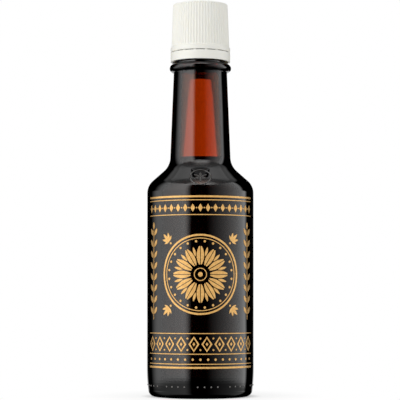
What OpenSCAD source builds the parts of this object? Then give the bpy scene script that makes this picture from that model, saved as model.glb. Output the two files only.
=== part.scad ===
// A small bitters bottle: dark glass, a shaker plug pressed into its mouth, and a
// ribbed screw cap with a tamper band. +Z is up, the origin is the middle of the ring
// that the bottle stands on, and the front of the print faces -Y. Millimetres.

/* [Glass body] */
// Outer diameter of the straight body
body_d = 46.2; // [40:0.1:56]
// Height where the straight body wall ends
body_h = 87.6; // [80:0.1:120]
// Thickness of the glass wall
wall = 2.65; // [2:0.05:3.2]
// Thickness of the glass floor in the middle
floor_t = 4; // [3:0.1:6]
// Height of the hollow under the base
pushup_h = 3; // [2:0.1:4]
// Width of the flat ring that the bottle stands on
stand_w = 1.2; // [0.8:0.1:2]
// Radius of the corner at the foot of the body
heel_r = 2.9; // [2:0.1:4]
// How far the foot stays inside the straight wall
heel_inset = 0.65; // [0.3:0.05:1]
// Height where the foot has run out into the straight wall
heel_h = 12.3; // [8:0.1:16]
// Radius of the inner corner between floor and wall
floor_corner_r = 6; // [4:0.5:8]

/* [Shoulder and neck] */
// Radius of the rounded shoulder
shoulder_r = 7.2; // [6:0.1:10]
// Slope of the shoulder, in degrees from upright
shoulder_angle = 48.6; // [40:0.2:56]
// Radius of the hollow curve between slope and neck
fillet_r = 8.4; // [6:0.1:10]
// Neck diameter where that curve ends
neck_base_d = 26.2; // [25:0.1:29]
// Length of the tapered neck
neck_len = 37.2; // [30:0.1:50]
// Distance from the liquid's surface up to the middle of the bead
headspace = 39.4; // [30:0.1:45]

/* [Mouth of the bottle] */
// Outer diameter of the glass thread
thread_d = 21.4; // [20.4:0.1:23]
// Height of the thread ridge
thread_depth = 1.05; // [0.9:0.05:1.2]
// Rise of the thread in one turn
thread_pitch = 3.2; // [3:0.1:3.6]
// Turns of thread on the glass
thread_turns = 2; // [1.5:0.25:2.25]
// Glass thickness behind the thread
mouth_wall = 2.75; // [2.4:0.05:3]
// Height from the middle of the bead to the rim
mouth_h = 24.9; // [23.5:0.1:26]
// Radius of the round bead under the cap
bead_r = 1.8; // [1.4:0.1:2.2]
// How far the bead stands out past the tamper band
bead_step = 0.4; // [0.1:0.05:0.6]
// How far the bead stands out past the neck under it
bead_rise = 1.8; // [1.2:0.05:2.4]

/* [Shaker plug] */
// Length of the plug in the mouth
plug_len = 11; // [9:0.5:14]
// Wall thickness of the plug
plug_wall = 0.9; // [0.7:0.05:1.1]
// Thickness of the plug's flange on the rim
flange_t = 0.8; // [0.6:0.05:1]
// Diameter of the dash hole
dash_hole_d = 2.2; // [1.6:0.1:2.8]
// Outer diameter of the spout round the dash hole
spout_d = 4.4; // [4:0.1:5]
// Diameter of the air hole beside the spout
air_hole_d = 1; // [0.8:0.1:1.2]

/* [Cap] */
// Thickness of the cap's top
cap_top_t = 1.4; // [1:0.1:2]
// Wall of the cap at the top of the skirt, ribs included
cap_wall = 1.07; // [1:0.01:1.4]
// How much further out the skirt is at its foot
cap_flare = 0.68; // [0.4:0.02:1]
// How far the smooth collar stands out past the skirt
collar_step = 0.4; // [0.3:0.05:0.7]
// Height of the smooth collar
collar_h = 2; // [1.8:0.1:3]
// Number of ribs round the skirt
rib_count = 60; // [40:1:72]
// Depth of the grooves between the ribs
rib_depth = 0.3; // [0.2:0.02:0.36]
// Thickness of the liner in the cap
liner_t = 0.9; // [0.6:0.1:1.2]
// Gap between the glass thread and the cap's wall
cap_clearance = 0.15; // [0.1:0.05:0.25]

/* [Tamper band] */
// Height of the band
band_h = 3.9; // [3.4:0.1:4.2]
// Wall of the band
band_wall = 1.1; // [1:0.05:1.3]
// Height of the slit between band and cap
slit_h = 0.3; // [0.25:0.05:0.6]
// Number of thin bridges across the slit
bridge_count = 16; // [8:1:20]
// Width of one bridge
bridge_w = 1; // [0.8:0.1:1.6]

/* [Print] */
// Thickness of the fired ink
ink_t = 0.1; // [0.06:0.02:0.16]
// Distance from the top of the straight wall down to the print
print_drop = 2.3; // [1:0.1:6]
// Distance from the end of the foot's curve up to the print
print_rise = 0.4; // [0.2:0.1:3]
// Arc that the ruled lines cover, in degrees
print_arc = 136; // [100:2:160]

/* [Hidden] */

$fn = 96;
// Overrun of every cut past the face that it opens
cut = 1;
// Straight pieces that stand for a round corner of an outline
arc_steps = 12;
// Straight pieces in one turn of a thread
turn_steps = 30;

// Radii that the mouth, cap, band and bead share
thread_r = thread_d / 2;
root_r = thread_r - thread_depth;
bore_r = root_r - mouth_wall;
cap_in_r = thread_r + cap_clearance;
cap_top_r = cap_in_r + cap_wall;
skirt_foot_r = cap_top_r + cap_flare;
collar_r = skirt_foot_r + collar_step;
band_in_r = collar_r - band_wall;
bead_out_r = collar_r + bead_step;

// Body and neck, worked out from the sizes above
body_r = body_d / 2;
neck_base_r = neck_base_d / 2;
neck_top_r = bead_out_r - bead_rise;
neck_angle = atan((neck_base_r - neck_top_r) / neck_len);
stand_r = body_r - heel_inset - heel_r;
pushup_r = stand_r - stand_w;
slope_top_r = neck_base_r + fillet_r * (cos(neck_angle) - cos(shoulder_angle));
slope_foot_r = body_r - shoulder_r * (1 - cos(shoulder_angle));
slope_foot_z = body_h + shoulder_r * sin(shoulder_angle);
slope_top_z = slope_foot_z + (slope_foot_r - slope_top_r) / tan(shoulder_angle);
neck_base_z = slope_top_z + fillet_r * (sin(shoulder_angle) - sin(neck_angle));
neck_top_z = neck_base_z + neck_len;
bead_z = neck_top_z + bead_r;
bead_top_z = bead_z + bead_r;
rim_z = bead_z + mouth_h;
fill_z = bead_z - headspace;
inner_r = body_r - wall;
floor_z = pushup_h + floor_t;
// Glass above the standing ring, at the inner corner
floor_edge_t = 4.5;

// Heights of the mouth, cap and band
// Gap round the locking bead inside the collar and band
lock_gap = 0.3;
// How far the locking bead stands out from the glass under it
lock_depth = 0.75;
// Height of the locking bead's crest
lock_crest_h = 0.8;
// Height of the bevel under that crest
lock_bevel_h = 0.35;
lock_r = band_in_r - lock_gap;
recess_r = lock_r - lock_depth;
// Gap between the bead and the foot of the band
band_gap = 1;
band_foot_z = bead_top_z + band_gap;
band_top_z = band_foot_z + band_h;
cap_foot_z = band_top_z + slit_h;
lock_z = cap_foot_z;
lock_crest_z = lock_z + lock_bevel_h;
lock_top_z = lock_crest_z + lock_crest_h;
lock_end_z = lock_top_z + lock_r - root_r;
collar_top_z = cap_foot_z + collar_h;
flange_top_z = rim_z + flange_t;
liner_top_z = flange_top_z + liner_t;
cap_top_z = liner_top_z + cap_top_t;
// Inner corner where the neck narrows to the bore
throat_h = 3;
throat_z = neck_top_z - throat_h / 2;
// Rounding of the rim's outer edge
rim_edge = 0.5;

// Thread: the ridge's width at its foot and at its crest, and how deep it is rooted
ridge_foot_w = 2;
ridge_crest_w = 0.9;
ridge_root = 0.25;
// Turns over which a ridge grows from nothing
ridge_fade_share = 0.15;
// Height of the ridge's start below the rim
thread_from_rim = 8.4;
thread_z = rim_z - thread_from_rim;
// The cap's ridge: gap to the glass between turns, and play on the flank that bears
crest_gap = 0.25;
flank_play = 0.2;
cap_ridge_foot_w = 1.6;
cap_ridge_crest_w = 0.7;
cap_ridge_r = root_r + crest_gap;
cap_thread_start_share = -0.25;
cap_thread_turns = 1.75;

// Mark on the front of the shoulder: its place up the slope, its sizes and its relief
seal_up = 0.7;
seal_r = 4.6;
seal_line_w = 0.7;
seal_petals = 6;
seal_petal_len = 3.1;
seal_petal_w = 1.3;
seal_h = 0.3;
seal_root = 0.5;
seal_reach = 3;

// Small domes in groups round the foot: how deep each sits in the glass, and how far round
// from the front the middle of one group is
dot_r = 0.4;
dot_sink = 0.15;
dot_z = 5;
dot_groups = 10;
dots_in_group = 4;
dot_turn = -28;
// Radius of the foot's long curve, and of the glass at the height of the domes
foot_curve_r = dome_r(heel_h - heel_r, heel_inset);
dot_face_r = body_r - foot_curve_r + sqrt(pow(foot_curve_r, 2) - pow(heel_h - dot_z, 2));

// Gap between the liquid's solid and the glass
fill_gap = 0.05;

// Shaker plug
plug_gap = 0.1;
plug_r = bore_r - plug_gap;
plug_in_r = plug_r - plug_wall;
plug_foot_z = rim_z - plug_len;
flange_r = root_r - rim_edge;
plug_lead = 0.6;
plug_floor_t = 1;
plug_well = 4;
plug_floor_z = flange_top_z - plug_well;
spout_top_z = flange_top_z - plug_gap;
// Two sealing ribs bite into the glass by this much
seal_bite = 0.05;
seal_rib_h = 1;
seal_rib_pitch = 2.6;

// Liner and cap
liner_gap = 0.25;
liner_r = cap_in_r - liner_gap;
liner_bead_h = 0.5;
liner_bead_r = liner_r - liner_gap;
cap_edge = 0.5;

// Tamper band: the ledge that catches under the locking bead
ledge_gap = 0.3;
ledge_r = recess_r + ledge_gap;
ledge_h = 1.2;
band_edge = 0.25;
bridge_gap = 0.02;
bridge_inset = 0.15;
bridge_t = 0.7;

// Print: lines, then the rows from the top down and from the foot up
print_top = body_h - print_drop;
print_foot = heel_h + print_rise;
bold_line = 0.8;
fine_line = 0.35;
line_gap = 0.9;
upper_rule_z = print_top - bold_line - line_gap - fine_line;
lower_rule_z = print_foot + bold_line + line_gap;
small_row_h = 6.2;
small_count = 17;
small_w = 2;
small_h = 3.4;
low_row_h = 4.2;
big_row_h = 8.6;
big_count = 10;
big_w = 4.6;
big_h = 6.6;
middle_z = (upper_rule_z - small_row_h + lower_rule_z + low_row_h + big_row_h) / 2;
// The round flower keeps this much room to the side of the bottle
side_room = 6;
flower_r = body_r - side_room;
pearl_count = 24;
pearl_inset = 3;
pearl_ring_r = flower_r - pearl_inset;
pearl_r = 0.5;
flower_petals = 12;
petal_foot_r = 3.2;
petal_gap = 1.2;
flower_petal_len = pearl_ring_r - petal_gap - petal_foot_r;
flower_petal_w = 3;
sprig_angle = 59;
sprig_reach = 2;
sprig_h = 2 * (flower_r + sprig_reach);
sprig_pairs = 8;
sprig_gap = 0.6;
sprig_lean = 32;
sprig_leaf_len = 3.6;
sprig_leaf_w = 1.5;

// Points along an arc round a centre, from angle a0 to angle a1
function arc(centre, r, a0, a1, steps = arc_steps) =
    [for (i = [0:steps]) let (a = a0 + (a1 - a0) * i / steps) centre + r * [cos(a), sin(a)]];

// Radius of the circle that rises by h over a half width of w
function dome_r(w, h) = (w * w + h * h) / (2 * h);

// Outline of shoulder and neck, moved outwards by g
function shoulder_line(g) = concat(
    arc([body_r - shoulder_r, body_h], shoulder_r + g, 0, shoulder_angle),
    arc([neck_base_r + fillet_r * cos(neck_angle), neck_base_z + fillet_r * sin(neck_angle)],
        fillet_r - g, 180 + shoulder_angle, 180 + neck_angle));

// Hollow under the base, from the middle to the standing ring
function pushup_line() =
    let (r = dome_r(pushup_r, pushup_h), a = asin(pushup_r / r))
    arc([0, pushup_h - r], r, 90, 90 - a);

// Foot of the body: the corner, then a long curve out to the straight wall
function heel_line() =
    let (h = heel_h - heel_r, r = dome_r(h, heel_inset), a = asin(h / r))
    concat(
        arc([stand_r, heel_r], heel_r, -90, 0),
        arc([body_r - r, heel_h], r, -a, 0, arc_steps / 2));

// Mouth of the bottle, from the bead up to the rim
function mouth_line() =
    let (a = acos((neck_top_r - bead_out_r + bead_r) / bead_r),
         b = acos((recess_r - bead_out_r + bead_r) / bead_r))
    concat(
        arc([bead_out_r - bead_r, bead_z], bead_r, -a, b),
        [[recess_r, lock_z], [lock_r, lock_crest_z], [lock_r, lock_top_z],
         [root_r, lock_end_z]],
        arc([root_r - rim_edge, rim_z - rim_edge], rim_edge, 0, 90, arc_steps / 2));

// Inside of the glass, moved inwards by g
function cavity_line(g) =
    let (w = inner_r - floor_corner_r, r = dome_r(w, floor_z - floor_edge_t), a = asin(w / r))
    concat(
        arc([0, floor_z - r], r + g, 90, 90 - a),
        arc([w, floor_edge_t + floor_corner_r], floor_corner_r - g, -90, 0),
        shoulder_line(-wall - g),
        [[neck_top_r - wall - g, throat_z], [bore_r - g, throat_z + throat_h]]);

// How far a ridge has grown, from 0 to 1, at turn t of its length
function grown(t, turns) = min(1, t / (turns * ridge_fade_share), (turns - t) / (turns * ridge_fade_share));

// The reverse of a list
function back(list) = [for (i = [1:len(list)]) list[len(list) - i]];

// A helical ridge that stands out from foot_r to crest_r, from turn t0 on
module ridge(foot_r, crest_r, foot_w, crest_w, t0, turns) {
    steps = round(turns * turn_steps);
    way = crest_r > foot_r ? 1 : -1;
    root = foot_r - way * ridge_root;
    low = foot_r - way * ridge_root / 2;
    points = [for (i = [0:steps]) let (
        t = turns * i / steps,
        a = 360 * (t0 + t),
        z = thread_z + thread_pitch * (t0 + t),
        r = low + (crest_r - low) * grown(t, turns))
        each [[root, z - foot_w / 2], [r, z - crest_w / 2], [r, z + crest_w / 2], [root, z + foot_w / 2]]
            * [[cos(a), sin(a), 0], [0, 0, 1]]];
    sides = [for (i = [0:steps - 1], k = [0:3]) let (p = 4 * i + k, q = 4 * i + (k + 1) % 4)
        each [[p, q, p + 4], [q, q + 4, p + 4]]];
    faces = concat(sides, [[3, 2, 1, 0], [for (k = [0:3]) 4 * steps + k]]);
    polyhedron(points, way > 0 ? faces : [for (f = faces) back(f)]);
}

module lozenge(w, h) {
    polygon([[w / 2, 0], [0, h / 2], [-w / 2, 0], [0, -h / 2]]);
}

// A leaf of two arcs that meet in points, from the origin up
module leaf(l, w) {
    r = dome_r(l / 2, w / 2);
    translate([0, l / 2]) intersection() {
        translate([r - w / 2, 0]) circle(r);
        translate([w / 2 - r, 0]) circle(r);
    }
}

module line_ring(r, w) {
    difference() {
        circle(r);
        circle(r - w);
    }
}

// The mark's outline: a ring round a flower
module seal_outline() {
    line_ring(seal_r, seal_line_w);
    for (i = [0:seal_petals - 1]) rotate(i * 360 / seal_petals) leaf(seal_petal_len, seal_petal_w);
}

// The mark, raised from the sloping shoulder by seal_h
module shoulder_seal() {
    middle = [slope_foot_r - seal_up * sin(shoulder_angle), slope_foot_z + seal_up * cos(shoulder_angle)];
    intersection() {
        rotate_extrude() polygon(concat(shoulder_line(seal_h), back(shoulder_line(-seal_root))));
        translate([0, -middle[0], middle[1]]) rotate([90 - shoulder_angle, 0, 0])
            translate([0, 0, -seal_reach]) linear_extrude(2 * seal_reach) seal_outline();
    }
}

module heel_dots() {
    step = 360 / (dot_groups * (dots_in_group + 1));
    for (g = [0:dot_groups - 1], i = [0:dots_in_group - 1])
        rotate(dot_turn + (g * (dots_in_group + 1) + i - (dots_in_group - 1) / 2) * step)
            translate([0, dot_sink - dot_face_r, dot_z]) sphere(dot_r, $fn = 32);
}

module bottle() {
    color([0.16, 0.07, 0.03]) {
        difference() {
            union() {
                rotate_extrude() polygon(concat(
                    pushup_line(), heel_line(), shoulder_line(0), mouth_line(), [[0, rim_z]]));
                ridge(root_r, thread_r, ridge_foot_w, ridge_crest_w, 0, thread_turns);
                shoulder_seal();
                heel_dots();
            }
            rotate_extrude() polygon(concat(
                cavity_line(0), [[bore_r, rim_z + cut], [0, rim_z + cut]]));
        }
    }
}

module bitters() {
    color([0.24, 0.05, 0.01]) rotate_extrude() intersection() {
        polygon(concat(cavity_line(fill_gap), [[bore_r - fill_gap, rim_z], [0, rim_z]]));
        square([body_r, fill_z]);
    }
}

module dasher_plug() {
    ribs = [for (i = [1, 0]) let (z = rim_z - seal_rib_pitch * (i + 1))
        each [[plug_r, z - seal_rib_h / 2], [bore_r + seal_bite, z], [plug_r, z + seal_rib_h / 2]]];
    color([0.9, 0.9, 0.86]) difference() {
        rotate_extrude() polygon(concat(
            [[dash_hole_d / 2, plug_floor_z - plug_floor_t], [plug_in_r, plug_floor_z - plug_floor_t],
             [plug_in_r, plug_foot_z], [plug_r - plug_lead / 2, plug_foot_z],
             [plug_r, plug_foot_z + plug_lead]],
            ribs,
            [[plug_r, rim_z], [flange_r, rim_z], [flange_r, flange_top_z], [plug_in_r, flange_top_z],
             [plug_in_r, plug_floor_z], [spout_d / 2, plug_floor_z], [spout_d / 2, spout_top_z],
             [dash_hole_d / 2, spout_top_z]]));
        translate([(spout_d / 2 + plug_in_r) / 2, 0, plug_floor_z - plug_floor_t - cut])
            cylinder(h = plug_floor_t + 2 * cut, d = air_hole_d);
    }
}

module cap_liner() {
    color([0.95, 0.95, 0.93]) translate([0, 0, flange_top_z]) cylinder(h = liner_t, r = liner_r);
}

// The ribbed skirt: a star of ridges and grooves that tapers to the top
module ribbed_skirt() {
    z_and_r = [
        [collar_top_z - cap_edge, skirt_foot_r], [cap_top_z - cap_edge, cap_top_r],
        [cap_top_z, cap_top_r - cap_edge]];
    sides = 2 * rib_count;
    points = [for (l = z_and_r, i = [0:sides - 1]) let (
        a = i * 360 / sides,
        r = l[1] * (i % 2 == 0 ? 1 : 1 - rib_depth / skirt_foot_r))
        [r * cos(a), r * sin(a), l[0]]];
    walls = [for (j = [0:len(z_and_r) - 2], i = [0:sides - 1])
        let (p = j * sides + i, q = j * sides + (i + 1) % sides) [p, p + sides, q + sides, q]];
    foot = [for (i = [0:sides - 1]) i];
    top = [for (i = [1:sides]) len(points) - i];
    polyhedron(points, concat(walls, [foot, top]));
}

module screw_cap() {
    bevel_z = lock_top_z + lock_gap;
    color([0.92, 0.92, 0.87]) {
        difference() {
            union() {
                rotate_extrude() polygon([
                    [0, cap_foot_z], [collar_r - band_edge, cap_foot_z], [collar_r, cap_foot_z + band_edge],
                    [collar_r, collar_top_z - cap_edge], [skirt_foot_r, collar_top_z],
                    [skirt_foot_r - rib_depth, collar_top_z], [0, collar_top_z]]);
                ribbed_skirt();
            }
            rotate_extrude() polygon([
                [0, cap_foot_z - cut], [band_in_r, cap_foot_z - cut], [band_in_r, bevel_z],
                [cap_in_r, bevel_z + band_in_r - cap_in_r],
                [cap_in_r, flange_top_z - liner_bead_h], [liner_bead_r, flange_top_z - liner_bead_h / 2],
                [cap_in_r, flange_top_z], [cap_in_r, liner_top_z], [0, liner_top_z]]);
        }
        translate([0, 0, flank_play - thread_pitch / 2])
            ridge(cap_in_r, cap_ridge_r, cap_ridge_foot_w, cap_ridge_crest_w,
                cap_thread_start_share, cap_thread_turns);
    }
}

module tamper_band() {
    ledge_z = band_top_z - ledge_gap;
    color([0.92, 0.92, 0.87]) {
        rotate_extrude() polygon([
            [band_in_r, band_foot_z], [collar_r - band_edge, band_foot_z],
            [collar_r, band_foot_z + band_edge], [collar_r, band_top_z - band_edge],
            [collar_r - band_edge, band_top_z], [band_in_r, band_top_z],
            [band_in_r, ledge_z], [ledge_r, ledge_z - ledge_gap],
            [ledge_r, ledge_z - ledge_h / 2], [band_in_r, ledge_z - ledge_h]]);
        for (i = [0:bridge_count - 1]) rotate((i + 0.5) * 360 / bridge_count)
            translate([-bridge_w / 2, -collar_r + bridge_inset, band_top_z - bridge_inset])
                cube([bridge_w, bridge_t, slit_h + bridge_inset - bridge_gap]);
    }
}

// A flat motif that lies against the front of the glass, a degrees round and at height z
module tile(a, z) {
    rotate(a) translate([0, -body_r, z]) rotate([90, 0, 0]) linear_extrude(ink_t) children();
}

// A motif that follows the round of the glass, in the middle of the front at height z
module wrapped(z, reach) {
    intersection() {
        translate([0, 0, z - reach]) linear_extrude(2 * reach) difference() {
            circle(body_r + ink_t);
            circle(body_r);
        }
        translate([0, 0, z]) rotate([90, 0, 0]) linear_extrude(body_r + cut) children();
    }
}

// A line round the front, its lower edge at z
module rule(z, w) {
    rotate(-90 - print_arc / 2) rotate_extrude(angle = print_arc)
        translate([body_r, z]) square([ink_t, w]);
}

// A row of copies across the front, spaced evenly over the arc of the lines
module row(count, z) {
    for (i = [0:count - 1]) tile((i + 0.5) * print_arc / count - print_arc / 2, z) children();
}

// An upright stem with pairs of leaves
module sprig() {
    translate([-fine_line / 2, -sprig_h / 2]) square([fine_line, sprig_h]);
    for (i = [0:sprig_pairs - 1], side = [-1, 1])
        translate([side * sprig_gap, (i + 0.5) * sprig_h / sprig_pairs - sprig_h / 2])
            rotate(-side * sprig_lean) leaf(sprig_leaf_len, sprig_leaf_w);
}

module front_print() {
    big_row_z = lower_rule_z + low_row_h;
    color([0.86, 0.65, 0.3]) {
        for (z = [print_foot, print_top - bold_line]) rule(z, bold_line);
        for (z = [lower_rule_z, big_row_z, big_row_z + big_row_h, upper_rule_z - small_row_h, upper_rule_z])
            rule(z, fine_line);
        row(small_count, upper_rule_z - small_row_h / 2) lozenge(small_w, small_h);
        row(small_count, lower_rule_z + low_row_h / 2) circle(pearl_r);
        row(big_count, big_row_z + big_row_h / 2) {
            difference() {
                lozenge(big_w, big_h);
                lozenge(big_w - 2 * bold_line, big_h - 2 * bold_line);
            }
            lozenge(big_w / 4, big_h / 4);
        }
        for (i = [0:pearl_count - 1]) let (a = (i + 0.5) * 360 / pearl_count)
            tile(pearl_ring_r * sin(a) * 180 / (PI * body_r), middle_z + pearl_ring_r * cos(a))
                circle(pearl_r);
        wrapped(middle_z, flower_r + cut) {
            line_ring(flower_r, bold_line);
            line_ring(flower_r - 2 * bold_line, fine_line);
            for (i = [0:flower_petals - 1]) rotate(i * 360 / flower_petals)
                translate([0, petal_foot_r]) leaf(flower_petal_len, flower_petal_w);
            line_ring(petal_foot_r - line_gap / 2, fine_line);
            circle(2 * pearl_r);
        }
        for (side = [-1, 1]) tile(side * sprig_angle, middle_z) sprig();
    }
}

bottle();
bitters();
dasher_plug();
cap_liner();
screw_cap();
tamper_band();
front_print();
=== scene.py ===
"""A small bitters bottle: dark glass, liquid, fired print, shaker plug and screw cap, in a plain studio."""

import math

import bmesh
import bpy
import numpy as np
from bpy.props import FloatProperty, FloatVectorProperty, IntProperty, PointerProperty
from bpy.types import Operator, Panel, PropertyGroup
from mathutils import Matrix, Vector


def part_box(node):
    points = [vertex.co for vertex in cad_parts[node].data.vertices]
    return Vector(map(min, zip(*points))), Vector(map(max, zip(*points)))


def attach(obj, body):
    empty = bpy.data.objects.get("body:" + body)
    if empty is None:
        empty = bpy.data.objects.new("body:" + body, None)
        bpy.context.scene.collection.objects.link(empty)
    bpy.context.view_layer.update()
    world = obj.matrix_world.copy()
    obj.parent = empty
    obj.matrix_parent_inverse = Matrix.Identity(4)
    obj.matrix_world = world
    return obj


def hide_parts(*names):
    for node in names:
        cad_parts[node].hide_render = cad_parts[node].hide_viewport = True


bl_info = {
    "name": "Bitters Bottle",
    "version": (1, 0, 0),
    "blender": (4, 5, 0),
    "location": "3D View > Sidebar > Bottle",
    "description": "Builds a dark glass bottle with its closure and print, and a studio round it",
    "category": "Add Mesh",
}

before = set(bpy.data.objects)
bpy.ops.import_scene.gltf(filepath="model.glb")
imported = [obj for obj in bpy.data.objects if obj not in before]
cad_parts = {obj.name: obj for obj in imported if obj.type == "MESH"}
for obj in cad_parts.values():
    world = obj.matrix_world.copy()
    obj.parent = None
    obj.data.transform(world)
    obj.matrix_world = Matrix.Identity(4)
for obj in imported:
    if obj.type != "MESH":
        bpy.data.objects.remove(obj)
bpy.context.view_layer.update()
glass_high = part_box("bottle")[1]
liquid_low, liquid_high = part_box("bitters")
plug_low, plug_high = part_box("dasher_plug")
liner_low, liner_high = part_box("cap_liner")
cap_low, cap_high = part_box("screw_cap")
band_low, band_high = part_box("tamper_band")
print_low, print_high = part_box("front_print")

MM = 0.001
# From the rim down to where the thread of the glass starts
THREAD_DROP = 8.4 * MM
# Points of each long arc of the glass
ARC_STEPS = 24


# Properties

def number(name, text, default, **kind):
    """A number that a user may change, such as a strength of light."""
    return FloatProperty(name=name, description=text, default=default, min=0.0, **kind)


def length(name, text, default):
    """A size in metres."""
    return number(name, text, default, unit="LENGTH", precision=5)


def angle_of(name, text, degrees):
    """An angle, kept in radians."""
    return number(name, text, math.radians(degrees), subtype="ANGLE")


def count_of(name, text, default):
    """How many of a thing there are."""
    return IntProperty(name=name, description=text, default=default, min=2)


def colour(name, text, default):
    """A colour in linear light."""
    return FloatVectorProperty(name=name, description=text, default=default, size=4, min=0.0, max=1.0,
                               subtype="COLOR")


class GlassSizes(PropertyGroup):
    """Sizes of the glass bottle."""

    body_r: length("Body Radius", "Radius of the straight body", glass_high.x)
    body_h: length("Body Height", "Height where the straight wall ends", 87.6 * MM)
    wall: length("Wall", "Thickness of the glass", 2.65 * MM)
    floor_h: length("Floor Height", "Height of the inner floor in the middle", liquid_low.z + 0.3 * MM)
    pushup_h: length("Hollow Height", "Height of the hollow under the base", 3 * MM)
    stand_w: length("Standing Ring", "Width of the ring that the bottle stands on", 1.2 * MM)
    heel_r: length("Foot Corner", "Radius of the corner at the foot", 2.9 * MM)
    heel_inset: length("Foot Inset", "How far the foot stays inside the wall", 0.65 * MM)
    heel_h: length("Foot Height", "Height where the foot meets the straight wall", 12.3 * MM)
    shoulder_r: length("Shoulder Radius", "Radius of the rounded shoulder", 7.2 * MM)
    shoulder_slope: angle_of("Shoulder Slope", "Angle of the shoulder from upright", 48.6)
    fillet_r: length("Fillet Radius", "Radius of the hollow curve under the neck", 8.4 * MM)
    neck_base_r: length("Neck Base Radius", "Neck radius where the hollow curve ends", 13.1 * MM)
    neck_top_r: length("Neck Top Radius", "Neck radius under the bead", 11.6 * MM)
    neck_len: length("Neck Length", "Length of the tapered neck", 37.2 * MM)
    bead_r: length("Bead", "Radius of the bead's round section", 1.8 * MM)
    bead_rise: length("Bead Rise", "How far the bead stands out past the neck", 1.8 * MM)
    lock_r: length("Locking Bead Radius", "Radius of the bead that holds the tamper band", 11.6 * MM)
    bore_r: length("Bore Radius", "Inner radius of the mouth", 6.9 * MM)
    root_r: length("Mouth Radius", "Outer radius of the mouth under the thread", 9.65 * MM)


class ClosureSizes(PropertyGroup):
    """Sizes of the cap, the tamper band and the shaker plug."""

    top_r: length("Cap Top Radius", "Radius of the cap at its top edge", 11.92 * MM)
    skirt_r: length("Skirt Radius", "Radius of the ribbed skirt at its foot", 12.6 * MM)
    collar_h: length("Collar Height", "Height of the smooth collar", 2 * MM)
    inner_r: length("Cap Inner Radius", "Inner radius of the cap", 10.85 * MM)
    collar_in_r: length("Collar Inner Radius", "Inner radius of collar and band", 11.9 * MM)
    rib_count: count_of("Ribs", "Number of ribs round the skirt", 60)
    rib_depth: length("Rib Depth", "Depth of the grooves between ribs", 0.3 * MM)
    pitch: length("Thread Pitch", "Rise of the thread in one turn", 3.2 * MM)
    thread_depth: length("Thread Depth", "Height of the thread's ridge", 1.05 * MM)
    bridge_count: count_of("Bridges", "Thin bridges between band and cap", 16)
    plug_r: length("Plug Radius", "Outer radius of the shaker plug", 6.8 * MM)
    plug_wall: length("Plug Wall", "Wall of the shaker plug", 0.9 * MM)
    spout_r: length("Spout Radius", "Outer radius of the plug's spout", 2.2 * MM)
    dash_r: length("Dash Hole Radius", "Radius of the hole that the drops leave by", 1.1 * MM)


class PrintSizes(PropertyGroup):
    """Sizes of the fired print."""

    arc: angle_of("Arc", "Arc that the ruled lines cover", 136.0)
    ink: length("Ink", "Thickness of the ink", 0.08 * MM)
    bold: length("Bold Line", "Width of a bold line", 0.8 * MM)
    fine: length("Fine Line", "Width of a fine line", 0.35 * MM)
    flower_r: length("Flower Radius", "Radius of the round flower", 17 * MM)
    petals: count_of("Petals", "Petals of the flower", 12)
    pearls: count_of("Pearls", "Dots round the flower", 24)


class StudioSizes(PropertyGroup):
    """Sizes and lights of the studio."""

    sky: number("Sky", "Plain light from all round", 0.79)
    left_light: number("Left Softbox", "Strength of the left softbox", 2.5)
    right_light: number("Right Softbox", "Strength of the right softbox", 2.3)
    back_light: number("Back Panel", "Strength of the light panel behind", 1.5)
    top_light: number("Overhead", "Strength of the overhead panel", 0.65)
    front_light: number("Front Light", "Strength of the light above the camera", 2.6)
    side_lamp: number("Side Lamp", "Power of the lamp on the left", 2.7, unit="POWER")
    back_w: length("Back Panel Width", "Half the width of the light panel behind", 0.116)
    floor_r: length("Floor", "Radius of the round floor", 0.06)
    tent_r: length("Surround", "Radius of the softboxes round the bottle", 0.6)
    tent_h: length("Surround Height", "Height of the surround", 0.9)
    box_top: length("Softbox Height", "Height of the softboxes", 0.62)


class Finishes(PropertyGroup):
    """Colours of the finishes."""

    glass: colour("Glass", "Tint of one wall of the glass", (0.555, 0.155, 0.017, 1.0))
    liquid: colour("Liquid", "Colour of the liquid", (0.01, 0.002, 0.0008, 1.0))
    cap: colour("Cap", "Colour of the cap and band", (0.88, 0.875, 0.82, 1.0))
    plug: colour("Plug", "Colour of the shaker plug", (0.8, 0.8, 0.75, 1.0))
    ink: colour("Ink", "Colour of the print", (0.93, 0.545, 0.17, 1.0))


# Nodes

class Socket:
    """A node's output that Python's operators can work on."""

    def __init__(self, graph, output):
        self.graph = graph
        self.output = output

    def math(self, operation, *others):
        return self.graph.maths(operation, self, *others)

    def __add__(self, other):
        return self.math("ADD", other)

    def __sub__(self, other):
        return self.math("SUBTRACT", other)

    def __mul__(self, other):
        return self.math("MULTIPLY", other)

    def __truediv__(self, other):
        return self.math("DIVIDE", other)

    def __rsub__(self, other):
        return self.graph.maths("SUBTRACT", other, self)

    __radd__ = __add__
    __rmul__ = __mul__

    def step(self, low, high):
        """Rises smoothly from 0 to 1 as this goes from low to high."""
        return self.graph.add("ShaderNodeMapRange", {"Value": self, "From Min": low, "From Max": high},
                              interpolation_type="SMOOTHSTEP")


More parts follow.
